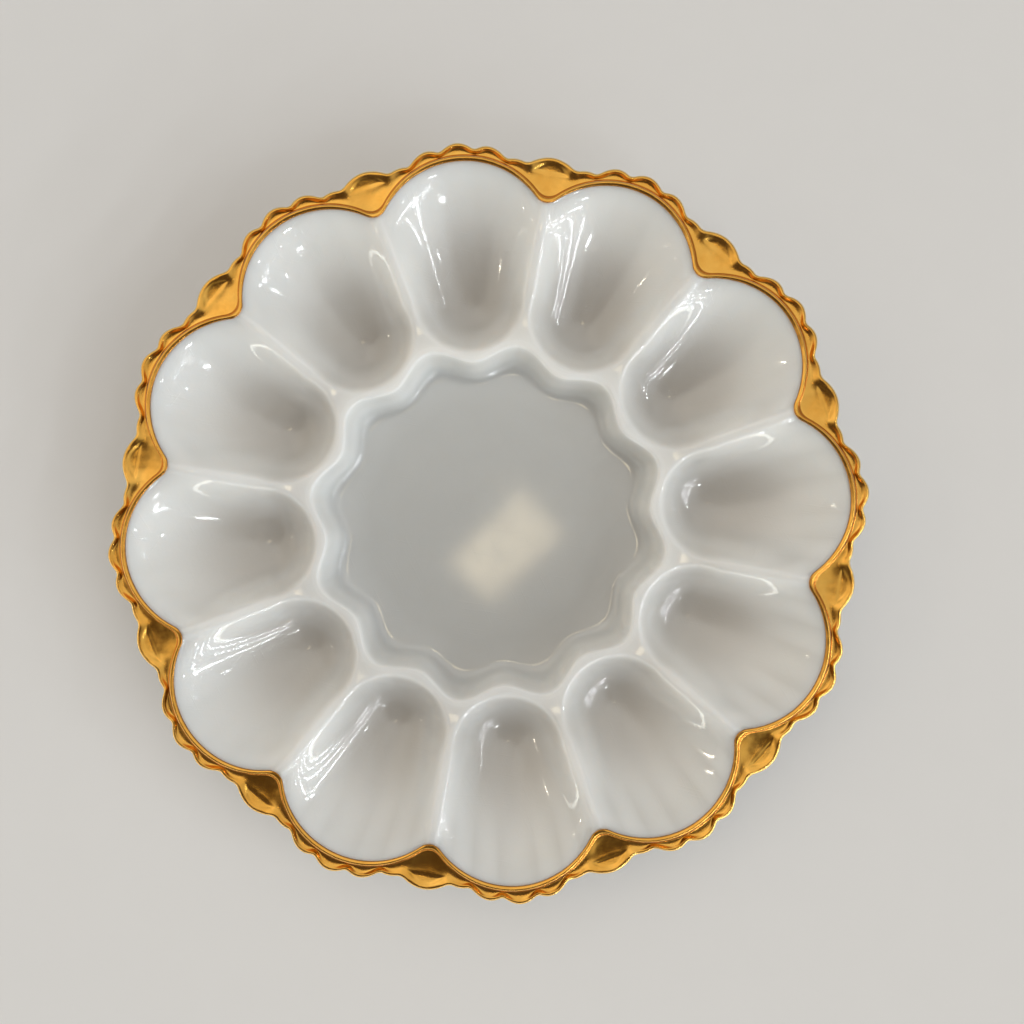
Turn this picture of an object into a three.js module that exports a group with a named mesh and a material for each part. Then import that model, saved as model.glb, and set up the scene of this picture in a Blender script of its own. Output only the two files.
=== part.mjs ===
// A round pressed milk-glass egg plate: twelve egg wells around a flat centre dish, and the
// gold band fired onto its scalloped rim.
//
// Millimetres and degrees, +Z up. The origin is on the table under the middle of the plate,
// and +X runs along the middle of one well. The plate repeats every sector, and inside a
// sector an angle is counted from the middle of its well.

import * as THREE from 'three';
import { ParametricGeometry } from 'three/addons/geometries/ParametricGeometry.js';
import { mergeGeometries, mergeVertices } from 'three/addons/utils/BufferGeometryUtils.js';

// Driving dimensions.
const WELL_COUNT = 12;
const PLATE_RADIUS = 123.8;
const PLATE_HEIGHT = 30;
const GOLD_THICKNESS = 0.3;
const GOLD_GAP = 0.05; // clear space left under the gold, which in life is fused to the glass

// Centre dish and the wavy ring around it.
const FLOOR_TOP = 9;
const COVE_WIDTH = 11; // from the flat floor out to the middle of the ring
const COVE_STEEPNESS = 4.5; // higher is flatter at the floor and steeper at the ring
const FLOOR_WAVE = 1.5;
const RING_RADIUS = 57.6;
const RING_WAVE = 3;
const RING_TOP = 23;
const RING_HALF_WIDTH = 2.3;
const RING_ROLL = 6; // how softly the wall of the dish turns into the top of the ring

// Wells, the ridges between them, and the petal-shaped crest around them.
const WELL_DEPTH = 12.5;
const WELL_MIDDLE = 74; // where a well is deepest, from the plate's axis
const EDGE_SOFTNESS = 0.25; // 0 makes the sides of a well upright where they end
const RIDGE_HALF_WIDTH = 2.2;
const CREST_HALF_WIDTH = 1.8;
const SHOULDER = 3; // how softly a wall turns into the ridge or the ring above it
const PETAL_CENTRE = 88.5;
const PETAL_RADIUS = 28.65;
const NOTCH_BLEND = 9;

// Gold-covered rim: the wall outside the crest, the flange and the rounded lip.
const WALL_RUN = 2.3;
const WALL_DROP = 5.2;
const LIP_DROP = 4.4;
const LIP_ROUND = 1.1;
const LIP_THICKNESS = 3;
const BAND_OVERLAP = 0.8; // how far the gold reaches over the crest towards the wells
const BAND_EDGE_DROP = 0.1; // how far the crest has rounded down there

// Scallops of the lip, mirrored about the middle of the well: where each arc's tip is, how
// far inside the plate's radius it stays, and the arc's own radius.
const SCALLOPS = [
  { angle: 0, setback: 0, arc: 6 },
  { angle: 4.5, setback: 1.5, arc: 5.5 },
  { angle: 9, setback: 5.2, arc: 8 },
  { angle: 15, setback: 3.4, arc: 11 },
];
const SCALLOP_BLEND = 2;

// Underside: a foot ring, and shells with grooves between them, under the ridges.
const FOOT_INNER_RADIUS = 49;
const FOOT_WIDTH = 4.5;
const FOOT_DRAFT = 1;
const FOOT_HEIGHT = 3.5;
const UNDERSIDE_CURVE = 1.7;
const GROOVE_DEPTH = 7;
const GROOVE_SHARPNESS = 1.5;

// Where the rows of faces lie: across the dish, the wells and the underside.
const DISH_ROWS = [0, 0.3, 0.5, 0.62, 0.7, 0.77, 0.86];
const WELL_ROWS = [0, 0.07, 0.18, 0.32, 0.5, 0.67, 0.82, 0.93];
const UNDERSIDE_ROWS = [1, 0.85, 0.65, 0.42, 0.2, 0];

// Angles within a sector that get a column of faces: every scallop's tip and valley, and
// one column between them.
const COLUMN_ANGLES = [-12.5, -10, -7.5, -6, -4.5, -3, -1.5, 0, 1.5, 3, 4.5, 6, 7.5, 10, 12.5, 15];
const COLUMN_COUNT = WELL_COUNT * COLUMN_ANGLES.length;
const MERGE_DISTANCE = 1e-4;

const SECTOR = 360 / WELL_COUNT;
const HALF_SECTOR = SECTOR / 2;
const COAT = GOLD_GAP + GOLD_THICKNESS;
const CREST_TOP = PLATE_HEIGHT - COAT;
const FOOT_OUTER_RADIUS = FOOT_INNER_RADIUS + FOOT_WIDTH;
const LIP_BOTTOM = CREST_TOP - LIP_DROP - LIP_THICKNESS;
const WELL_INNER_LENGTH = WELL_MIDDLE - (RING_RADIUS - RING_WAVE + RING_HALF_WIDTH);

const radians = THREE.MathUtils.degToRad;
const mix = THREE.MathUtils.lerp;

function smoothMax(a, b, blend) {
  const overlap = Math.max(blend - Math.abs(a - b), 0);
  return Math.max(a, b) + (overlap * overlap) / (4 * blend);
}

// ---- Outlines seen from above ----

// 1 along the middle of a well and -1 along a ridge.
function wave(angle) {
  return Math.cos(WELL_COUNT * radians(angle));
}

function ringRadius(angle) {
  return RING_RADIUS - RING_WAVE * wave(angle);
}

function petalRadius(angle) {
  const across = PETAL_CENTRE * Math.sin(radians(angle));
  const reach = Math.sqrt(Math.max(PETAL_RADIUS ** 2 - across ** 2, 0));
  return PETAL_CENTRE * Math.cos(radians(angle)) + reach;
}

function crestRadius(angle) {
  const fromWell = Math.abs(angle);
  return smoothMax(petalRadius(fromWell), petalRadius(SECTOR - fromWell), NOTCH_BLEND);
}

function lipRadius(angle) {
  let radius = 0;
  for (const scallop of SCALLOPS) {
    const tip = PLATE_RADIUS - scallop.setback;
    const along = tip * radians(Math.abs(angle) - scallop.angle);
    radius = smoothMax(radius, tip - along ** 2 / (2 * scallop.arc), SCALLOP_BLEND);
  }
  return radius;
}

// ---- Heights of the upper face ----

function ridgeTop(outward) {
  return mix(RING_TOP, CREST_TOP, THREE.MathUtils.smoothstep(outward, 0, 1));
}

// The depth of a rounded bowl: 1 in its middle, 0 at its edge and negative outside it.
function bowl(inside) {
  const edge = Math.sqrt(EDGE_SOFTNESS);
  const full = Math.sqrt(1 + EDGE_SOFTNESS) - edge;
  const curved = (Math.sqrt(Math.max(inside, 0) + EDGE_SOFTNESS) - edge) / full;
  return curved + Math.min(inside, 0) / (2 * edge * full);
}

// 1 at the deepest point of a well, 0 at its edge and negative on the ridges around it. The
// inner end is round, and the outer end fills its corners, up to the crest.
function wellShape(radius, angle) {
  const turn = radians(Math.abs(angle));
  const along = radius * Math.cos(turn);
  const ridgeEdge = RIDGE_HALF_WIDTH / Math.cos(radians(HALF_SECTOR));
  const halfWidth = Math.max(along, WELL_MIDDLE) * Math.tan(radians(HALF_SECTOR)) - ridgeEdge;
  const sideways = (radius * Math.sin(turn)) / halfWidth;
  const inwards = Math.max(WELL_MIDDLE - along, 0) / WELL_INNER_LENGTH;
  const middle = WELL_MIDDLE / Math.cos(turn);
  const outerLength = crestRadius(angle) - CREST_HALF_WIDTH - middle;
  const around = sideways ** 2 + inwards ** 2;
  const outwards = (Math.max(radius - middle, 0) / outerLength) ** 2;
  const corner = Math.min(around, 1) * Math.min(outwards, 1);
  return bowl(1 - around - outwards + corner);
}

// The dish runs from its flat floor (0) up a cove to the middle of the ring (1).
function dishSurface(outward) {
  const climb = (outward * COVE_WIDTH) / (COVE_WIDTH - RING_HALF_WIDTH);
  const drop = (RING_TOP - FLOOR_TOP) * (1 - climb ** COVE_STEEPNESS);
  return RING_TOP - smoothMax(0, drop, RING_ROLL);
}

// ---- Rows of points: each gives a radius and a height at an angle within the sector ----

const centreRow = (height) => () => [0, height];
const circleRow = (radius, height) => () => [radius, height];

function dishRow(outward) {
  return (angle) => {
    const floorEdge = RING_RADIUS - COVE_WIDTH - FLOOR_WAVE * wave(angle);
    return [mix(floorEdge, ringRadius(angle), outward), dishSurface(outward)];
  };
}

// From the middle of the ring (0) to the crest (1), down into the wells.
function wellRow(outward) {
  return (angle) => {
    const radius = mix(ringRadius(angle), crestRadius(angle), outward);
    const drop = smoothMax(0, WELL_DEPTH * wellShape(radius, angle), SHOULDER);
    return [radius, ridgeTop(outward) - drop];
  };
}

// The underside runs from the foot (0) to the lip (1). Its rows take on the lip's scallops
// as they go outwards, which makes the ribs of the shells.
function undersideRow(outward) {
  return (angle) => {
    const radius = mix(FOOT_OUTER_RADIUS + FOOT_DRAFT, lipRadius(angle) - LIP_ROUND, outward);
    const rise = (LIP_BOTTOM - FOOT_HEIGHT) * outward ** UNDERSIDE_CURVE;
    const nearRidge = ((1 - wave(angle)) / 2) ** GROOVE_SHARPNESS;
    const groove = GROOVE_DEPTH * nearRidge * Math.sin(Math.PI * outward);
    return [radius, FOOT_HEIGHT + rise + groove];
  };
}

// Rim rows from the crest to the edge of the lip, lifted off the glass by the given amount.
function rimRows(lift) {
  return [
    (angle) => [crestRadius(angle) - BAND_OVERLAP, CREST_TOP - BAND_EDGE_DROP + lift],
    (angle) => [crestRadius(angle), CREST_TOP + lift],
    (angle) => [crestRadius(angle) + WALL_RUN + lift / 2, CREST_TOP - WALL_DROP + lift],
    (angle) => [lipRadius(angle) - COAT - LIP_ROUND, CREST_TOP - LIP_DROP + lift],
    (angle) => [lipRadius(angle) - COAT + lift, CREST_TOP - LIP_DROP - LIP_ROUND],
  ];
}

// ---- Closed bodies from rows ----

function columnDegrees(around) {
  const column = Math.round(around * COLUMN_COUNT);
  const sector = Math.floor(column / COLUMN_ANGLES.length);
  return SECTOR * sector + COLUMN_ANGLES[column % COLUMN_ANGLES.length];
}

function sectorAngle(degrees) {
  return degrees - SECTOR * Math.round(degrees / SECTOR);
}

// A sheet through the rows, once around the plate. It faces up where its rows run outwards.
function sheetFromRows(rows) {
  const place = (along, around, target) => {
    const degrees = columnDegrees(around);
    const [radius, height] = rows[Math.round(along * (rows.length - 1))](sectorAngle(degrees));
    const turn = radians(degrees);
    target.set(radius * Math.cos(turn), radius * Math.sin(turn), height);
  };
  const sheet = new ParametricGeometry(place, rows.length - 1, COLUMN_COUNT);
  sheet.deleteAttribute('normal');
  sheet.deleteAttribute('uv');
  return sheet;
}

function flipped(sheet) {
  const corners = sheet.getIndex().array;
  for (let corner = 0; corner < corners.length; corner += 3) {
    [corners[corner], corners[corner + 1]] = [corners[corner + 1], corners[corner]];
  }
  return sheet;
}

function closedBody(sheets) {
  const body = mergeVertices(mergeGeometries(sheets), MERGE_DISTANCE);
  body.computeVertexNormals();
  return body;
}

// ---- The two pieces ----

// The rows run outwards over the upper face and back under it to the middle.
function milkGlassPlate() {
  const rows = [
    centreRow(FLOOR_TOP),
    ...DISH_ROWS.map(dishRow),
    ...WELL_ROWS.map(wellRow),
    ...rimRows(0),
    ...UNDERSIDE_ROWS.map(undersideRow),
    circleRow(FOOT_OUTER_RADIUS, 0),
    circleRow(FOOT_INNER_RADIUS, 0),
    circleRow(FOOT_INNER_RADIUS - FOOT_DRAFT, FOOT_HEIGHT),
    centreRow(FOOT_HEIGHT),
  ];
  const opalGlass = new THREE.MeshStandardMaterial({
    color: 0xdfe2e2,
    roughness: 0.12,
    metalness: 0,
  });
  const mesh = new THREE.Mesh(closedBody([sheetFromRows(rows)]), opalGlass);
  mesh.name = 'milk_glass_plate';
  return mesh;
}

// The inner face is a flipped sheet, so its facets follow the glass under it exactly.
function goldRimBand() {
  const outside = rimRows(COAT);
  const inside = rimRows(GOLD_GAP);
  const last = outside.length - 1;
  const sheets = [
    sheetFromRows(outside),
    flipped(sheetFromRows(inside)),
    sheetFromRows([inside[0], outside[0]]),
    sheetFromRows([outside[last], inside[last]]),
  ];
  const firedGold = new THREE.MeshStandardMaterial({
    color: 0xd79b32,
    roughness: 0.22,
    metalness: 1,
  });
  const mesh = new THREE.Mesh(closedBody(sheets), firedGold);
  mesh.name = 'gold_rim_band';
  return mesh;
}

const eggPlate = new THREE.Group();
eggPlate.add(milkGlassPlate(), goldRimBand());

export default eggPlate;
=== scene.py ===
"""Looks for the egg plate: fine glass and gold surfaces, their materials, and a plain studio.

Metres and degrees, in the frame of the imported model: +Z up, the origin on the table under
the middle of the plate, +X along the middle of one well. The plate repeats every sector,
and inside a sector an angle is counted from the middle of its well.
"""

import math

import bpy
import numpy as np
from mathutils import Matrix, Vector


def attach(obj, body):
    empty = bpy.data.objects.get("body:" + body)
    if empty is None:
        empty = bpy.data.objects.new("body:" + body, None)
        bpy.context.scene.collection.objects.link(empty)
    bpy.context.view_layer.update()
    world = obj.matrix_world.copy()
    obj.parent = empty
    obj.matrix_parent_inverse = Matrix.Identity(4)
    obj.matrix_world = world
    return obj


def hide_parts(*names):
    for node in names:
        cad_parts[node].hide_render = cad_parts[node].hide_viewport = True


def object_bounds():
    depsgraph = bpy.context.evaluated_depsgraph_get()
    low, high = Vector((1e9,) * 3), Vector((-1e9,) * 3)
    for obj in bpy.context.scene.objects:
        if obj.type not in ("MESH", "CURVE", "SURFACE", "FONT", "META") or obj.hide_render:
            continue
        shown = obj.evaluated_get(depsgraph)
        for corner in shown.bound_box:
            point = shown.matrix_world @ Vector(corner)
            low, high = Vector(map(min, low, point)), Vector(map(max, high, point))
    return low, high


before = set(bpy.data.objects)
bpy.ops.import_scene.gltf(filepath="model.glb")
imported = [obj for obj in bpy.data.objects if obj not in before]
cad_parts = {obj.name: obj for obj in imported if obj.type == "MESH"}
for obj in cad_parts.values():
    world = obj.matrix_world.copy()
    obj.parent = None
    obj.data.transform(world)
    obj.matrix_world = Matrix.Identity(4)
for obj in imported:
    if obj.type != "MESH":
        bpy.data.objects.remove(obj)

CAD_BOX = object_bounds()

MM = 0.001

# ---- Driving dimensions, from the frame ----

PLATE_RADIUS = CAD_BOX[1].x
PLATE_HEIGHT = CAD_BOX[1].z
WELL_COUNT = 12
SECTOR = 360 / WELL_COUNT
HALF_SECTOR = SECTOR / 2

# ---- Shape of the upper face ----

FLOOR_TOP = 9 * MM
COVE_WIDTH = 11 * MM
RING_RADIUS = 57.6 * MM
RING_WAVE = 3 * MM
RING_TOP = 23 * MM
RING_HALF_WIDTH = 2.3 * MM
RING_ROLL = 6 * MM
FLOOR_WAVE = 1.5 * MM
WALL_STEEPNESS = 4.5

WELL_DEPTH = 12.5 * MM
WELL_MIDDLE = 74 * MM
RIDGE_HALF_WIDTH = 2.2 * MM
CREST_HALF_WIDTH = 1.8 * MM
SHOULDER = 3 * MM
EDGE_SOFTNESS = 0.25
PETAL_CENTRE = 88.5 * MM
PETAL_RADIUS = 28.65 * MM
NOTCH_BLEND = 9 * MM

# ---- Shape of the rim ----

GOLD_THICKNESS = 0.15 * MM
CREST_TOP = PLATE_HEIGHT - GOLD_THICKNESS
WALL_RUN = 2.9 * MM
WALL_DROP = 5.2 * MM
LIP_DROP = 4.6 * MM
LIP_ROUND = 1.1 * MM
LIP_THICKNESS = 3 * MM
BAND_OVERLAP = 0.9 * MM
FLANGE_DISH = 0.05
FLANGE_ROUNDNESS = 1.2
LIP_BOTTOM = CREST_TOP - LIP_DROP - LIP_THICKNESS

# Each scallop's tip: its angle, how far it stays inside the plate's radius, its own radius.
SCALLOPS = [
    (0, 0, 6 * MM),
    (4.5, 1.5 * MM, 5.5 * MM),
    (9, 5.2 * MM, 8 * MM),
    (15, 3.4 * MM, 11 * MM),
]
SCALLOP_BLEND = 2 * MM
# The flange rises to a low spoke in each valley between two scallops: angle and height.
VALLEYS = [(2.7, 0.45 * MM), (7.3, 0.4 * MM), (11.6, 0.25 * MM)]
VALLEY_WIDTH = 0.9
# A lens-shaped recess in the flange outside each notch between two wells.
LENS_SETBACK = 3.3 * MM
LENS_HALF_LENGTH = 6.5 * MM
LENS_HALF_WIDTH = 2.2 * MM
LENS_DEPTH = 0.35 * MM
# The slow unevenness of the crest and of the lip: how much, and its longest wave's number.
CREST_WANDER = (0.16 * MM, 3)
LIP_WANDER = (0.2 * MM, 5)

# ---- Shape of the underside ----

FOOT_INNER_RADIUS = 49 * MM
FOOT_WIDTH = 4.5 * MM
FOOT_OUTER_RADIUS = FOOT_INNER_RADIUS + FOOT_WIDTH
FOOT_DRAFT = 1 * MM
FOOT_HEIGHT = 3.5 * MM
FOOT_ROUND = 0.8 * MM
FOOT_DEGREES = (0, 30, 60, 90)
UNDERSIDE_CURVE = 1.7
GROOVE_DEPTH = 7 * MM
GROOVE_SHARPNESS = 1.5
RIB_HEIGHT = 0.9 * MM
RIB_REACH = 1.4
RIB_FULLNESS = 0.7
# Angles from the middle of a well where ribs and grooves lie by turns, starting with a rib.
RIB_STATIONS = [0, 2.9, 4.5, 7.3, 9.2, 11.3, 15]


def smooth_max(a, b, blend):
    overlap = np.maximum(blend - np.abs(a - b), 0)
    return np.maximum(a, b) + overlap**2 / (4 * blend)


def smooth_step(share):
    share = np.clip(share, 0, 1)
    return share * share * (3 - 2 * share)


def smoother_step(share):
    share = np.clip(share, 0, 1)
    return share**3 * (share * (6 * share - 15) + 10)


def mix(a, b, share):
    return a + (b - a) * share


# ---- Columns: the angles around the plate, with the outlines seen from above ----

class Columns:
    """Angles once around the plate, closer together over the ridges, and the outlines there."""

    def __init__(self, per_sector, crowding):
        spread = np.arange(per_sector) * 2 / per_sector - 1
        crowded = np.sin(spread * math.pi / 2)
        within = HALF_SECTOR * mix(spread, crowded, crowding)
        sectors = np.arange(WELL_COUNT) * SECTOR
        self.turn = np.radians((sectors[:, None] + within[None, :]).ravel())
        self.angle = np.tile(within, WELL_COUNT)
        self.from_well = np.abs(self.angle)
        self.count = len(self.turn)
        self.between = (1 - np.cos(WELL_COUNT * self.turn)) / 2
        self.ring = RING_RADIUS - RING_WAVE * np.cos(WELL_COUNT * self.turn)
        self.crest = self.crest_radius() + self.wander(*CREST_WANDER)
        self.lip = self.lip_radius() + self.wander(*LIP_WANDER)

    def wander(self, amount, first):
        """A slow unevenness around the plate, as hot glass leaves it."""
        waves = sum(np.sin((first + 4 * k) * self.turn + first * (k + 1)) for k in range(4))
        return amount * waves / 2

    def petal_radius(self, angle):
        across = PETAL_CENTRE * np.sin(np.radians(angle))
        reach = np.sqrt(np.maximum(PETAL_RADIUS**2 - across**2, 0))
        return PETAL_CENTRE * np.cos(np.radians(angle)) + reach

    def crest_radius(self):
        own = self.petal_radius(self.from_well)
        neighbour = self.petal_radius(SECTOR - self.from_well)
        return smooth_max(own, neighbour, NOTCH_BLEND)

    def lip_radius(self):
        radius = np.zeros(self.count)
        for tip_angle, setback, arc in SCALLOPS:
            tip = PLATE_RADIUS - setback
            along = tip * np.radians(self.from_well - tip_angle)
            radius = smooth_max(radius, tip - along**2 / (2 * arc), SCALLOP_BLEND)
        return radius

    def valley(self):
        height = np.zeros(self.count)
        for angle, rise in VALLEYS:
            height += rise * np.exp(-(((self.from_well - angle) / VALLEY_WIDTH) ** 2))
        return height

    def rib(self):
        """1 on the middle of each rib of the outer shells, 0 in the grooves between them."""
        phase = np.interp(self.from_well, RIB_STATIONS, np.arange(len(RIB_STATIONS)) / 2)
        return np.abs(np.cos(math.pi * phase)) ** RIB_FULLNESS


# ---- Rows: radius and height at every column ----

def ridge_top(outward):
    return mix(RING_TOP, CREST_TOP, smooth_step(outward))


def bowl(inside):
    """The depth of a rounded bowl: 1 in its middle, 0 at its edge, negative outside it."""
    edge = math.sqrt(EDGE_SOFTNESS)
    full = math.sqrt(1 + EDGE_SOFTNESS) - edge
    curved = (np.sqrt(np.maximum(inside, 0) + EDGE_SOFTNESS) - edge) / full
    return curved + np.minimum(inside, 0) / (2 * edge * full)


def well_shape(outward, columns):
    """1 at the deepest point of a well, 0 at its edge and negative on the ridges. The inner end
    is round. The outer end fills its corners, up to the crest."""
    radius = mix(columns.ring, columns.crest, outward)
    turn = np.radians(columns.from_well)
    along = radius * np.cos(turn)
    ridge_edge = RIDGE_HALF_WIDTH / math.cos(math.radians(HALF_SECTOR))
    half_width = np.maximum(along, WELL_MIDDLE) * math.tan(math.radians(HALF_SECTOR)) - ridge_edge
    sideways = radius * np.sin(turn) / half_width
    inner_length = WELL_MIDDLE - (RING_RADIUS - RING_WAVE + RING_HALF_WIDTH)
    inwards = np.maximum(WELL_MIDDLE - along, 0) / inner_length
    middle = WELL_MIDDLE / np.cos(turn)
    outer_length = columns.crest - CREST_HALF_WIDTH - middle
    around = sideways**2 + inwards**2
    outwards = (np.maximum(radius - middle, 0) / outer_length) ** 2
    corner = np.minimum(around, 1) * np.minimum(outwards, 1)
    return bowl(1 - around - outwards + corner)


def well_row(outward, columns):
    radius = mix(columns.ring, columns.crest, outward)
    drop = smooth_max(0, WELL_DEPTH * well_shape(outward, columns), SHOULDER)
    return radius, ridge_top(outward) - drop


def dish_row(outward, columns):
    """From the edge of the flat floor (0) up the cove to the middle of the ring (1)."""
    climb = outward * COVE_WIDTH / (COVE_WIDTH - RING_HALF_WIDTH)
    drop = smooth_max(0, (RING_TOP - FLOOR_TOP) * (1 - climb**WALL_STEEPNESS), RING_ROLL)
    floor_edge = RING_RADIUS - COVE_WIDTH - FLOOR_WAVE * np.cos(WELL_COUNT * columns.turn)
    return mix(floor_edge, columns.ring, outward), np.full(columns.count, RING_TOP - drop)


def circle_row(radius, height, columns):
    return np.full(columns.count, radius), np.full(columns.count, height)


def wall_row(share, columns):
    """Down the outside of the crest: 0 on the crest, 1 at the foot of the wall."""
    radius = columns.crest + WALL_RUN * share
    return radius, np.full(columns.count, CREST_TOP - WALL_DROP * smoother_step(share))


def flange_row(share, columns):
    """Across the dished flange: 0 at the foot of the wall, 1 on top of the lip."""
    start = columns.crest + WALL_RUN
    end = columns.lip - LIP_ROUND
    dish = FLANGE_DISH * (end - start) * math.sin(math.pi * share) ** FLANGE_ROUNDNESS
    spoke = columns.valley() * smooth_step(share)
    radius = mix(start, end, share)
    height = CREST_TOP - mix(WALL_DROP, LIP_DROP, share**2) - dish + spoke
    return radius, height - LENS_DEPTH * lens_shape(radius, columns)


def bare_flange_row(share, columns):
    """The glass under the flange's gold, low enough never to show through it."""
    radius, height = flange_row(share, columns)
    return radius, height - LENS_DEPTH * math.sin(math.pi * share)


def lens_shape(radius, columns):
    """1 on the floor of the lens-shaped recess, 0 outside it."""
    sideways = radius * np.radians(HALF_SECTOR - columns.from_well) / LENS_HALF_LENGTH
    inwards = np.abs(columns.lip - LENS_SETBACK - radius) / LENS_HALF_WIDTH
    return smooth_step(2 * (1 - sideways**2 - inwards))


def lip_row(degrees, columns):
    """Round the lip: 90 on top, 0 at its outermost edge, negative underneath."""
    top = CREST_TOP - LIP_DROP + columns.valley()
    turn = math.radians(degrees)
    radius = columns.lip - LIP_ROUND + LIP_ROUND * math.cos(turn)
    return radius, top - LIP_ROUND + LIP_ROUND * math.sin(turn)


def underside_row(outward, columns):
    """From the foot (0) to the lip (1), with grooves between the shells and ribs on them."""
    radius = mix(FOOT_OUTER_RADIUS + FOOT_DRAFT, columns.lip - LIP_ROUND, outward)
    rise = (LIP_BOTTOM - FOOT_HEIGHT) * outward**UNDERSIDE_CURVE
    groove = GROOVE_DEPTH * columns.between**GROOVE_SHARPNESS * math.sin(math.pi * outward)
    rib = RIB_HEIGHT * (columns.rib() - 0.5) * smooth_step(outward * RIB_REACH)
    return radius, FOOT_HEIGHT + rise + groove - rib


def foot_rows(columns):
    """Down the outside of the foot ring, across its rounded edge and up the inside."""
    rows = []
    for degrees in FOOT_DEGREES:
        turn = math.radians(degrees)
        radius = FOOT_OUTER_RADIUS - FOOT_ROUND * (1 - math.cos(turn))
        rows.append(circle_row(radius, FOOT_ROUND * (1 - math.sin(turn)), columns))
    for degrees in FOOT_DEGREES:
        turn = math.radians(degrees)
        radius = FOOT_INNER_RADIUS + FOOT_ROUND * (1 - math.sin(turn))
        rows.append(circle_row(radius, FOOT_ROUND * (1 - math.cos(turn)), columns))
    rows.append(circle_row(FOOT_INNER_RADIUS - FOOT_DRAFT, FOOT_HEIGHT, columns))
    return rows


def shares(count):
    """Evenly spaced shares from just above 0 up to 1."""
    return [(k + 1) / count for k in range(count)]


def eased(count):
    """Shares from 0 to 1, closer together at both ends."""
    return [0.5 - 0.5 * math.cos(math.pi * k / count) for k in range(count + 1)]


# ---- Meshes from rows ----

def mesh_from_rows(name, rows, columns, poles):
    """A closed mesh through the rows. With poles, single points close its two ends;
    without them, the last row joins the first."""
    radius = np.array([row[0] for row in rows])
    height = np.array([row[1] for row in rows])
    points = np.stack([
        radius * np.cos(columns.turn),
        radius * np.sin(columns.turn),
        height,
    ], axis=-1).reshape(-1, 3)
    count = columns.count
    here = np.arange(count)
    following = np.roll(here, -1)
    starts = np.arange(len(rows) - (1 if poles else 0)) * count
    after = (starts + count) % (len(rows) * count)
    quads = np.stack([
        starts[:, None] + here,
        after[:, None] + here,
        after[:, None] + following,
        starts[:, None] + following,
    ], axis=-1).reshape(-1, 4)
    faces = quads.tolist()
    if poles:
        first = len(points)
        last = (len(rows) - 1) * count
        ends = [(0, 0, height[0].mean()), (0, 0, height[-1].mean())]
        points = np.vstack([points, ends])
        faces += [(first, k, n) for k, n in zip(here.tolist(), following.tolist())]
        faces += [(first + 1, last + n, last + k) for k, n in zip(here.tolist(), following.tolist())]
    mesh = bpy.data.meshes.new(name)
    mesh.from_pydata(points.tolist(), [], faces)
    mesh.polygons.foreach_set("use_smooth", [True] * len(mesh.polygons))
    piece = bpy.data.objects.new(name, mesh)
    bpy.context.scene.collection.objects.link(piece)
    return piece


def add_attribute(piece, name, rows_of_values):
    """A per-point number for the materials: one row of values for each row of the mesh."""
    values = np.array(rows_of_values).ravel()
    full = np.full(len(piece.data.vertices), values[0], np.float32)
    full[:len(values)] = values
    layer = piece.data.attributes.new(name, "FLOAT", "POINT")
    layer.data.foreach_set("value", full)


def lifted(rows, amount):
    """The rows moved off their surface, square to it, by the given amount."""
    radius = np.array([row[0] for row in rows])
    height = np.array([row[1] for row in rows])
    out = np.gradient(radius, axis=0)
    up = np.gradient(height, axis=0)
    length = np.hypot(out, up)
    return list(zip(radius - up / length * amount, height + out / length * amount))


# ---- Node helpers ----

def new_material(name):
    material = bpy.data.materials.new(name)
    material.use_nodes = True
    tree = material.node_tree
    return material, tree, tree.nodes["Principled BSDF"]


def add_node(tree, kind, inputs=None, **settings):
    node = tree.nodes.new(kind)
    for key, value in settings.items():
        setattr(node, key, value)
    for key, value in (inputs or {}).items():
        if isinstance(value, bpy.types.NodeSocket):
            tree.links.new(value, node.inputs[key])
        else:
            node.inputs[key].default_value = value
    return node


def place(tree):
    return add_node(tree, "ShaderNodeTexCoord").outputs["Object"]


def noise(tree, scale, detail=2.0, vector=None, roughness=0.5):
    inputs = {"Vector": vector or place(tree), "Scale": scale, "Detail": detail,
              "Roughness": roughness}
    return add_node(tree, "ShaderNodeTexNoise", inputs).outputs["Fac"]


def remap(tree, value, low, high, to_low, to_high):
    inputs = {"Value": value, "From Min": low, "From Max": high,
              "To Min": to_low, "To Max": to_high}
    return add_node(tree, "ShaderNodeMapRange", inputs).outputs["Result"]


def blend_colours(tree, share, first, second):
    """The first colour where the share is 0, the second where it is 1. The mix node has four
    sets of sockets, so the ones for colours go by number."""
    node = add_node(tree, "ShaderNodeMix", data_type="RGBA")
    for index, value in ((0, share), (6, first), (7, second)):
        if isinstance(value, bpy.types.NodeSocket):
            tree.links.new(value, node.inputs[index])
        else:
            node.inputs[index].default_value = value
    return node.outputs[2]


def attribute(tree, name):
    return add_node(tree, "ShaderNodeAttribute", attribute_name=name).outputs["Fac"]


def scratches(tree, turn):
    """Fine short lines in one direction, each about a centimetre long."""
    turned = add_node(tree, "ShaderNodeVectorRotate",
                      {"Vector": place(tree), "Angle": math.radians(turn)},
                      rotation_type="Z_AXIS").outputs["Vector"]
    thin = add_node(tree, "ShaderNodeMapping", {"Vector": turned, "Scale": (1, 26, 1)})
    return remap(tree, noise(tree, 70.0, 1.0, thin.outputs["Vector"]), 0.66, 0.72, 0, 1)


def bump(tree, height, distance, strength=1.0, normal=None):
    inputs = {"Height": height, "Distance": distance, "Strength": strength}
    if normal is not None:
        inputs["Normal"] = normal
    return add_node(tree, "ShaderNodeBump", inputs).outputs["Normal"]


# ---- Materials ----

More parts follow.
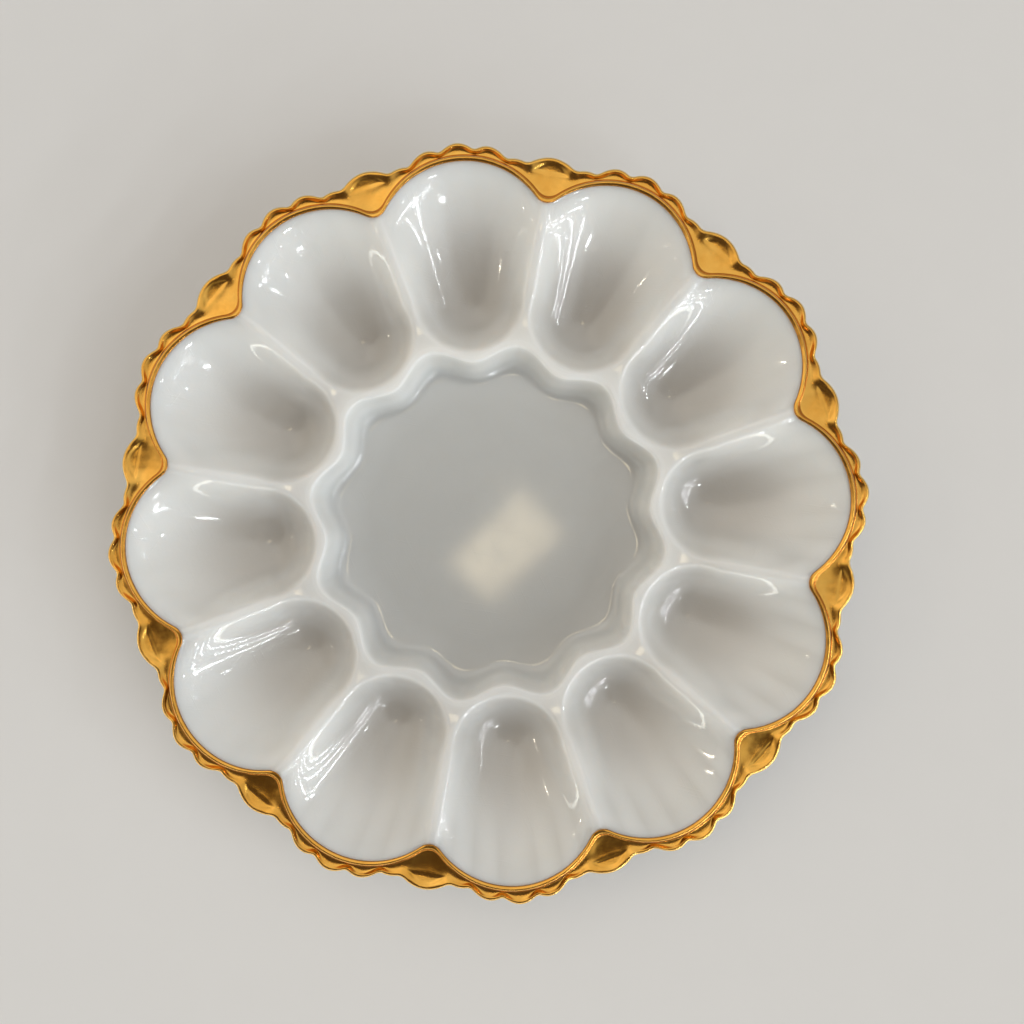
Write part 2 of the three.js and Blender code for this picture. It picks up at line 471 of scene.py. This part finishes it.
GLASS_COOL = (0.775, 0.78, 0.77, 1)
GLASS_PALE = (0.815, 0.815, 0.795, 1)
GOLD_TINT = (0.62, 0.36, 0.17, 1)
DISH_SHADE = (0.57, 0.575, 0.56, 1)
WELL_SHADE = (0.50, 0.47, 0.425, 1)
RIB_SHADE = (0.61, 0.60, 0.57, 1)
SPECK_COLOUR = (0.09, 0.08, 0.07, 1)
SCRATCH_TURNS = (15, 70, 128)

GOLD_DEEP = (0.77, 0.38, 0.062, 1)
GOLD_BRIGHT = (0.85, 0.475, 0.10, 1)
# Thinned gold, also the colour of the painted shade down the wall.
GOLD_THIN_AND_SHADE = (0.50, 0.19, 0.05, 1)
# The colour of the painted highlight round the lip.
GOLD_LIP_HIGHLIGHT = (1.0, 0.86, 0.50, 1)


def glass_colour(tree):
    """Cool white with faint clouds, shaded by the values painted on the mesh."""
    cloud = noise(tree, 22.0, 3.0)
    body = blend_colours(tree, remap(tree, cloud, 0.35, 0.65, 0, 1), GLASS_COOL, GLASS_PALE)
    body = blend_colours(tree, attribute(tree, "near_gold"), body, GOLD_TINT)
    # Painted shade on the floor of the dish.
    body = blend_colours(tree, attribute(tree, "dish_painted_shade"), body, DISH_SHADE)
    # Painted shade low in the wells and where the ridges start.
    body = blend_colours(tree, attribute(tree, "well_painted_shade"), body, WELL_SHADE)
    body = blend_colours(tree, attribute(tree, "rib_shade"), body, RIB_SHADE)
    return blend_colours(tree, specks(tree), body, SPECK_COLOUR)


def specks(tree):
    """1 on a few small dots: the middles of some of the cells of a flat pattern."""
    flat = add_node(tree, "ShaderNodeMapping", {"Vector": place(tree), "Scale": (1, 1, 0)})
    cell = add_node(tree, "ShaderNodeTexVoronoi",
                    {"Vector": flat.outputs["Vector"], "Scale": 62.0, "Randomness": 1.0})
    speck = remap(tree, cell.outputs["Distance"], 0.012, 0.020, 1, 0)
    chosen = remap(tree, cell.outputs["Color"], 0.76, 0.77, 0, 1)
    both = add_node(tree, "ShaderNodeMath", {0: speck, 1: chosen}, operation="MULTIPLY")
    return both.outputs[0]


def glass_bumps(tree):
    """Slow swells, a fine crinkle that nearly stops on the dish floor, and scratches."""
    normal = bump(tree, noise(tree, 38.0, 1.0), 0.35 * MM, 0.5)
    crinkle = noise(tree, 260.0, 3.0, roughness=0.65)
    on_slopes = remap(tree, attribute(tree, "dish_painted_shade"), 0, 0.4, 1, 0.12)
    normal = bump(tree, crinkle, 0.06 * MM, on_slopes, normal)
    for turn in SCRATCH_TURNS:
        normal = bump(tree, scratches(tree, turn), 0.03 * MM, 0.4, normal)
    return normal


def milk_glass():
    """Opal glass: white, faintly see-through and fire-polished."""
    material, tree, shader = new_material("milk_glass")
    tree.links.new(glass_colour(tree), shader.inputs["Base Color"])
    smear = noise(tree, 55.0, 4.0, roughness=0.6)
    tree.links.new(remap(tree, smear, 0.3, 0.7, 0.05, 0.12), shader.inputs["Roughness"])
    tree.links.new(glass_bumps(tree), shader.inputs["Normal"])
    shader.inputs["IOR"].default_value = 1.5
    shader.inputs["Subsurface Weight"].default_value = 0.9
    shader.inputs["Subsurface Radius"].default_value = (1.0, 0.92, 0.85)
    shader.inputs["Subsurface Scale"].default_value = 8 * MM
    shader.inputs["Coat Weight"].default_value = 1.0
    shader.inputs["Coat Roughness"].default_value = 0.03
    return material


def fired_gold():
    """Liquid gold fired on glass: bright and slightly rippled, redder where it thins out, with
    painted shade down the outside of the crest and a painted highlight round the lip.
    """
    material, tree, shader = new_material("fired_gold")
    cloud = noise(tree, 130.0, 3.0, roughness=0.6)
    gold = blend_colours(tree, remap(tree, cloud, 0.3, 0.7, 0, 1), GOLD_DEEP, GOLD_BRIGHT)
    # Redder where the gold thins out, and darker with painted shade down the outside of the crest.
    gold = blend_colours(tree, attribute(tree, "thin_gold_and_shade"), gold, GOLD_THIN_AND_SHADE)
    # A painted highlight, paler round the lip.
    gold = blend_colours(tree, attribute(tree, "lip_highlight_gold"), gold, GOLD_LIP_HIGHLIGHT)
    tree.links.new(gold, shader.inputs["Base Color"])
    shader.inputs["Metallic"].default_value = 1.0
    grain = noise(tree, 900.0, 3.0, roughness=0.7)
    tree.links.new(remap(tree, grain, 0.3, 0.7, 0.16, 0.27), shader.inputs["Roughness"])
    normal = bump(tree, noise(tree, 170.0, 1.0), 0.45 * MM, 0.6)
    normal = bump(tree, noise(tree, 520.0, 2.0), 0.07 * MM, 0.4, normal)
    tree.links.new(normal, shader.inputs["Normal"])
    return material


def matt(name, colour):
    """A plain paper-like surface without a sheen, its grain at most 2 % darker."""
    material, tree, shader = new_material(name)
    grain = noise(tree, 60.0, 4.0)
    tint = blend_colours(tree, grain, [c * 0.98 for c in colour] + [1], list(colour) + [1])
    tree.links.new(tint, shader.inputs["Base Color"])
    shader.inputs["Roughness"].default_value = 1.0
    shader.inputs["Specular IOR Level"].default_value = 0.0
    return material


# ---- The two pieces ----

# How finely the glass is divided: columns in a sector, and rows across each of its faces.
GLASS_COLUMNS = 50
GLASS_CROWDING = 0.5
COVE_ROWS = 30
WELL_ROWS = 56
GLASS_WALL_ROWS = 8
GLASS_FLANGE_ROWS = 12
UNDERSIDE_ROWS = 34
GLASS_LIP_DEGREES = (60, 30, 0, -40, -80)
INNER_FLOOR_RADIUS = 20 * MM


def glass_plate():
    columns = Columns(GLASS_COLUMNS, GLASS_CROWDING)
    rows = floor_rows(columns)
    rows += [dish_row(share, columns) for share in eased(COVE_ROWS)]
    ring = len(rows)
    rows += [well_row(share, columns) for share in eased(WELL_ROWS)[1:]]
    bare = len(rows)
    rows += [wall_row(share, columns) for share in shares(GLASS_WALL_ROWS)]
    rows += [bare_flange_row(share, columns) for share in shares(GLASS_FLANGE_ROWS)]
    rows += [lip_row(degrees, columns) for degrees in GLASS_LIP_DEGREES]
    rows += [underside_row(1 - share, columns) for share in eased(UNDERSIDE_ROWS)]
    rows += foot_rows(columns)
    piece = mesh_from_rows("glass_plate", rows, columns, poles=True)
    add_attribute(piece, "near_gold", near_gold_rows(rows, bare, columns))
    add_attribute(piece, "rib_shade", rib_shade_rows(rows, bare, columns))
    add_attribute(piece, "dish_painted_shade", dish_painted_shade_rows(rows, ring, columns))
    add_attribute(piece, "well_painted_shade", well_painted_shade_rows(rows, ring, bare, columns))
    piece.data.materials.append(milk_glass())
    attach(piece, "root")
    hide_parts("milk_glass_plate")


def floor_rows(columns):
    """The flat floor of the dish, from near its middle to just inside its edge."""
    rows = [circle_row(share * INNER_FLOOR_RADIUS, FLOOR_TOP, columns) for share in (0.25, 0.5, 1)]
    floor_edge = dish_row(0, columns)[0]
    for share in (0.4, 0.75):
        rows.append((mix(INNER_FLOOR_RADIUS, floor_edge, share), rows[0][1]))
    return rows


# Shading painted onto the glass, for the light that the real one passes. A fade says where it
# starts and how much farther on it is full. RIDGE_START is the middle and the width of the dim
# start of each ridge.
TINT_STRENGTH = 0.35
TINT_WIDTH = 0.7 * MM
RIB_STRENGTH = 0.45
RIB_FADE = (0.55, 0.3)
RIB_LEAST = 0.15
WINDOW_AZIMUTH = -60
DISH_CLIMB = 0.4
DISH_WALL_FADE = (0.62, 0.3)
DISH_WALL_STRENGTH = 0.45
WELL_STRENGTH = 0.85
WELL_FALLOFF = 1.8
RIM_FADE = (0.35, 0.6)
RIM_STRENGTH = 0.8
RIDGE_START = (0.22, 0.18)
RIDGE_STRENGTH = 0.25


def fade_in(share, start, length):
    return smooth_step((share - start) / length)


def way_out(radius, columns):
    """How far out a radius is: 0 on the middle of the ring, 1 on the crest."""
    return (radius - columns.ring) / (columns.crest - columns.ring)


def near_gold_rows(rows, bare, columns):
    """Strongest under the edge of the gold, and gone less than a millimetre away from it."""
    edge = columns.crest - BAND_OVERLAP
    values = []
    for radius, _ in rows[:bare]:
        values.append(TINT_STRENGTH * np.clip(1 - (edge - radius) / TINT_WIDTH, 0, 1))
    values += [np.zeros(columns.count)] * (len(rows) - bare)
    return values


def rib_shade_rows(rows, bare, columns):
    """The grooves of the outer shells, dim through the glass near a well's outer end. They
    show most on the side where the window shines through."""
    facing = np.cos(columns.turn - math.radians(WINDOW_AZIMUTH))
    lit_side = mix(RIB_LEAST, 1, smooth_step(facing))
    values = [np.zeros(columns.count)] * len(rows)
    for number in range(bare):
        fade = fade_in(way_out(rows[number][0], columns), *RIB_FADE)
        values[number] = fade * (1 - columns.rib()) * lit_side * RIB_STRENGTH
    return values


def dish_painted_shade_rows(rows, ring, columns):
    """Painted shade on the thin floor of the dish: 1 on it, less towards the wall, fading out up the
    cove.
    """
    values = [np.zeros(columns.count)] * len(rows)
    for number in range(ring):
        radius, height = rows[number]
        climb = (height - FLOOR_TOP) / (RING_TOP - FLOOR_TOP)
        near_wall = fade_in(radius / RING_RADIUS, *DISH_WALL_FADE)
        on_floor = 1 - smooth_step(climb / DISH_CLIMB)
        values[number] = on_floor * (1 - DISH_WALL_STRENGTH * near_wall)
    return values


def well_painted_shade_rows(rows, ring, bare, columns):
    """Painted shade low in a well, less towards the rim, where light comes through from outside. The
    ridges get a little painted shade where they start from the ring."""
    values = [np.zeros(columns.count)] * len(rows)
    for number in range(ring, bare):
        radius, height = rows[number]
        outward = way_out(radius, columns)
        low = smooth_step((ridge_top(outward) - height) / WELL_DEPTH) ** WELL_FALLOFF
        near_rim = fade_in(outward, *RIM_FADE)
        in_well = WELL_STRENGTH * low * (1 - RIM_STRENGTH * near_rim)
        middle, width = RIDGE_START
        on_ridge = RIDGE_STRENGTH * np.exp(-(((outward - middle) / width) ** 2))
        values[number] = np.maximum(in_well, on_ridge)
    return values


GOLD_COLUMNS = 120
# The gold starts on the inside of the crest: its rows there, as shares of the overlap.
OVERLAP_SHARES = (1.0, 0.6, 0.3)
WALL_ROWS = 10
FLANGE_ROWS = 20
GOLD_LIP_DEGREES = (75, 60, 42, 24, 6, -12, -30, -48)
# The hidden underside of the gold keeps one row in this many.
HIDDEN_STEP = 4
# How thin the gold is on its first two rows and on the last row, and how dark its painted shade is
# down the wall from its third row on.
THIN_START = (0.9, 0.35)
GOLD_WALL_SHADE = 0.65
THIN_END = 0.8
# How much paler its painted highlight makes it round the lip, from the second row of the lip on.
LIP_HIGHLIGHT = (0.2, 0.8, 1, 0.8, 0.3)


def gold_band():
    columns = Columns(GOLD_COLUMNS, crowding=0)
    span = columns.crest - columns.ring
    rows = []
    for back in OVERLAP_SHARES:
        rows.append(well_row(1 - BAND_OVERLAP * back / span, columns))
    rows += [wall_row(share, columns) for share in [0] + shares(WALL_ROWS)]
    rows += [flange_row(share, columns) for share in shares(FLANGE_ROWS)]
    rows += [lip_row(degrees, columns) for degrees in GOLD_LIP_DEGREES]
    outer = lifted(rows, GOLD_THICKNESS)
    inner = lifted(rows, -GOLD_THICKNESS)[::-HIDDEN_STEP]
    piece = mesh_from_rows("gold_rim", inner + outer, columns, poles=False)
    thin, lip_highlight = gold_thinning_and_painted_light(len(inner), len(outer))
    add_attribute(piece, "thin_gold_and_shade", np.outer(thin, np.ones(columns.count)))
    add_attribute(piece, "lip_highlight_gold", np.outer(lip_highlight, np.ones(columns.count)))
    piece.data.materials.append(fired_gold())
    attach(piece, "root")
    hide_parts("gold_rim_band")


def gold_thinning_and_painted_light(hidden, shown):
    """Two numbers for each row of the gold: how thin it is, with painted shade down the wall, and
    how much painted highlight it has round the lip.
    """
    thin = np.zeros(hidden + shown)
    thin[hidden:hidden + len(THIN_START)] = THIN_START
    wall = hidden + len(OVERLAP_SHARES)
    # Painted shade down the wall.
    thin[wall + 2:wall + WALL_ROWS] = GOLD_WALL_SHADE
    thin[-1] = THIN_END
    lip_highlight = np.zeros(hidden + shown)
    lip = hidden + shown - len(GOLD_LIP_DEGREES)
    # Painted highlight round the lip.
    lip_highlight[lip + 1:lip + 1 + len(LIP_HIGHLIGHT)] = LIP_HIGHLIGHT
    return thin, lip_highlight


# ---- Studio ----

FLOOR_REACH = 6.0
FLOOR_COLOUR = (0.82, 0.81, 0.80)


def studio_floor():
    mesh = bpy.data.meshes.new("studio_floor")
    corners = [(x * FLOOR_REACH, y * FLOOR_REACH, 0) for x, y in
               ((-1, -1), (1, -1), (1, 1), (-1, 1))]
    mesh.from_pydata(corners, [], [(0, 1, 2, 3)])
    floor = bpy.data.objects.new("studio_floor", mesh)
    bpy.context.scene.collection.objects.link(floor)
    mesh.materials.append(matt("studio_floor", FLOOR_COLOUR))


def direction(azimuth, elevation):
    """A step of length 1. Azimuth is counted from +X, anticlockwise."""
    around, up = math.radians(azimuth), math.radians(elevation)
    return (math.cos(around) * math.cos(up), math.sin(around) * math.cos(up), math.sin(up))


def area_light(name, azimuth, elevation, size, colour):
    """A soft box that faces the plate. Its width and height are shares of its distance."""
    towards = Vector(direction(azimuth, elevation))
    data = bpy.data.lights.new(name, "AREA")
    data.shape = "RECTANGLE"
    data.size, data.size_y = (share * LIGHT_DISTANCE for share in size)
    data.energy = BRIGHTNESS * math.pi * data.size * data.size_y
    data.color = colour
    light = bpy.data.objects.new(name, data)
    light.location = towards * LIGHT_DISTANCE
    light.rotation_euler = towards.to_track_quat("Z", "Y").to_euler()
    bpy.context.scene.collection.objects.link(light)


# A window with three columns of slats gives the short streaks on the glass. The dots come from
# single small lights: azimuth, elevation, width, height, colour.
COOL = (0.90, 0.96, 1.0)
WARM = (1.0, 0.88, 0.70)
SLAT_COUNT = 4
SLAT_SIZE = (0.26, 0.010)
COLUMN_STEP = 20
LOWEST_SLAT = (-50, 11)
SLAT_STEP = (6, 8)
SMALL_LIGHTS = [
    (-66, 44, 0.10, 0.020, COOL),
    (-24, 46, 0.035, 0.020, COOL),
    (2, 36, 0.034, 0.020, COOL),
    (168, 34, 0.03, 0.020, WARM),
    (186, 31, 0.04, 0.020, WARM),
]
LIGHT_DISTANCE = 30
BRIGHTNESS = 34


def studio_lights():
    for slat in range(SLAT_COUNT):
        middle = LOWEST_SLAT[0] + SLAT_STEP[0] * slat
        elevation = LOWEST_SLAT[1] + SLAT_STEP[1] * slat
        for column in (-1, 0, 1):
            azimuth = middle + column * COLUMN_STEP
            area_light(f"slat_{slat + 1}_{column + 2}", azimuth, elevation, SLAT_SIZE, COOL)
    for number, (azimuth, elevation, width, height, colour) in enumerate(SMALL_LIGHTS):
        area_light(f"lamp_{number + 1}", azimuth, elevation, (width, height), colour)


# Soft light all round the plate: azimuth and elevation of its middle, how far from there it
# is full and where it has faded out, all in degrees, then its strength and colour.
SOFT_LIGHTS = [
    (72, 64, 8, 48, 0.55, (1.0, 0.96, 0.90)),
    (-35, 30, 4, 44, 0.52, (0.86, 0.93, 1.0)),
    (152, 40, 4, 48, 0.55, (1.0, 0.88, 0.70)),
]
# A faint panel of light above the plate: the slopes away from upright where its middle is,
# its half lengths as slopes, its turn in degrees and its strength.
CEILING_PANEL = ((-0.009, -0.031), (0.045, 0.026), 38, (3.4, 2.8, 1.8))
PANEL_SOFTNESS = 0.012
# The heights between which the panel's slopes start to count, so it shows overhead only.
OVERHEAD = (0.5, 0.6)
DIM_PATCH = (248, 62, 20, 36)
DIM_COLOUR = (0.22, 0.17, 0.15)
BASE_LIGHT = (0.36, 0.355, 0.342)
BACKDROP = (0.62, 0.61, 0.59)
# A low bright band draws the pale line along the lip: the azimuth of its middle, how far it
# reaches to either side, the heights between which it lies, its strength.
LOW_BAND = (255, 95, (0.05, 0.16), (3.2, 3.2, 2.9))
# How softly its two edges end, and the share of its reach where it still is full.
BAND_EDGES = (0.01, 0.02)
BAND_FULL = 0.6


def sky_patch(tree, azimuth, elevation, full, faded):
    """1 inside a round patch of the surroundings, fading smoothly to 0 around it."""
    here = add_node(tree, "ShaderNodeTexCoord").outputs["Generated"]
    near = add_node(tree, "ShaderNodeVectorMath", {0: here, 1: direction(azimuth, elevation)},
                    operation="DOT_PRODUCT").outputs["Value"]
    inputs = {"Value": near, "From Min": math.cos(math.radians(faded)),
              "From Max": math.cos(math.radians(full)), "To Min": 0, "To Max": 1}
    patch = add_node(tree, "ShaderNodeMapRange", inputs, interpolation_type="SMOOTHSTEP")
    return patch.outputs["Result"]


def low_band(tree, middle, reach, heights):
    """1 in a band just above the horizon on one side, fading out towards its ends."""
    here = add_node(tree, "ShaderNodeTexCoord").outputs["Generated"]
    height = add_node(tree, "ShaderNodeSeparateXYZ", {0: here}).outputs["Z"]
    low, high = heights
    above = remap(tree, height, low, low + BAND_EDGES[0], 0, 1)
    below = remap(tree, height, high, high + BAND_EDGES[1], 1, 0)
    inside = add_node(tree, "ShaderNodeMath", {0: above, 1: below}, operation="MULTIPLY")
    side = sky_patch(tree, middle, 0, reach * BAND_FULL, reach)
    return add_node(tree, "ShaderNodeMath", {0: inside.outputs[0], 1: side},
                    operation="MULTIPLY").outputs[0]


def panel_patch(tree, middle, half_lengths, turn):
    """1 inside a tilted rectangle overhead, with soft edges."""
    here = add_node(tree, "ShaderNodeTexCoord").outputs["Generated"]
    height = add_node(tree, "ShaderNodeSeparateXYZ", {0: here}).outputs["Z"]
    slopes = add_node(tree, "ShaderNodeVectorMath",
                      {0: here, 1: three_times(tree, height)}, operation="DIVIDE")
    moved = add_node(tree, "ShaderNodeVectorMath",
                     {0: slopes.outputs["Vector"], 1: (*middle, 0)}, operation="SUBTRACT")
    turned = add_node(tree, "ShaderNodeVectorRotate",
                      {"Vector": moved.outputs["Vector"], "Angle": math.radians(-turn)},
                      rotation_type="Z_AXIS")
    sides = add_node(tree, "ShaderNodeSeparateXYZ", {0: turned.outputs["Vector"]})
    inside = remap(tree, height, *OVERHEAD, 0, 1)
    for axis, half in zip("XY", half_lengths):
        away = add_node(tree, "ShaderNodeMath", {0: sides.outputs[axis]}, operation="ABSOLUTE")
        inputs = {"Value": away.outputs[0], "From Min": half + PANEL_SOFTNESS,
                  "From Max": half - PANEL_SOFTNESS, "To Min": 0, "To Max": 1}
        side = add_node(tree, "ShaderNodeMapRange", inputs, interpolation_type="SMOOTHSTEP")
        inside = add_node(tree, "ShaderNodeMath", {0: inside, 1: side.outputs["Result"]},
                          operation="MULTIPLY").outputs[0]
    return inside


def three_times(tree, value):
    """A vector with the same number in all three places."""
    return add_node(tree, "ShaderNodeCombineXYZ", {0: value, 1: value, 2: value}).outputs[0]


def studio_world():
    """Surroundings that are bright overhead and to the sides, with one dim side. They light
    the plate and show in its reflections, but the camera sees a plain backdrop instead."""
    world = bpy.data.worlds.new("studio")
    world.use_nodes = True
    tree = world.node_tree
    light = BASE_LIGHT
    for azimuth, elevation, full, faded, strength, colour in SOFT_LIGHTS:
        patch = sky_patch(tree, azimuth, elevation, full, faded)
        inputs = {0: patch, 1: [strength * part for part in colour], 2: light}
        light = add_node(tree, "ShaderNodeVectorMath", inputs,
                         operation="MULTIPLY_ADD").outputs["Vector"]
    dim = blend_colours(tree, sky_patch(tree, *DIM_PATCH), (1, 1, 1, 1), (*DIM_COLOUR, 1))
    light = add_node(tree, "ShaderNodeVectorMath", {0: light, 1: dim},
                     operation="MULTIPLY").outputs["Vector"]
    middle, half_lengths, turn, panel_colour = CEILING_PANEL
    inputs = {0: panel_patch(tree, middle, half_lengths, turn), 1: panel_colour, 2: light}
    light = add_node(tree, "ShaderNodeVectorMath", inputs,
                     operation="MULTIPLY_ADD").outputs["Vector"]
    middle, reach, heights, band_colour = LOW_BAND
    inputs = {0: low_band(tree, middle, reach, heights), 1: band_colour, 2: light}
    light = add_node(tree, "ShaderNodeVectorMath", inputs,
                     operation="MULTIPLY_ADD").outputs["Vector"]
    seen = add_node(tree, "ShaderNodeLightPath").outputs["Is Camera Ray"]
    shown = blend_colours(tree, seen, light, (*BACKDROP, 1))
    tree.links.new(shown, tree.nodes["Background"].inputs["Color"])
    bpy.context.scene.world = world
    bpy.context.scene.view_settings.view_transform = "Standard"


# The view is straight down. Offsets are in the plane of the rim, and +X of the part points
# a few degrees above the right of the picture.
VIEW_ROLL = 4.9
VIEW_HEIGHT = 360 * MM
VIEW_OFFSET = (7.6 * MM, 3.7 * MM)
VIEW_SPAN = 331.3 * MM


def to_part(x, y):
    """A step along the picture's right and up, as a step in the part's frame."""
    roll = math.radians(-VIEW_ROLL)
    return Vector((
        x * math.cos(roll) - y * math.sin(roll),
        x * math.sin(roll) + y * math.cos(roll),
        0,
    ))


def studio_camera():
    data = bpy.data.cameras.new("camera")
    camera = bpy.data.objects.new("camera", data)
    bpy.context.scene.collection.objects.link(camera)
    camera.location = to_part(*VIEW_OFFSET)
    camera.location.z = CREST_TOP - LIP_DROP + VIEW_HEIGHT
    camera.rotation_euler = (0, 0, math.radians(-VIEW_ROLL))
    data.lens = data.sensor_width * VIEW_HEIGHT / VIEW_SPAN
    bpy.context.scene.camera = camera


glass_plate()
gold_band()
studio_floor()
studio_lights()
studio_world()
studio_camera()
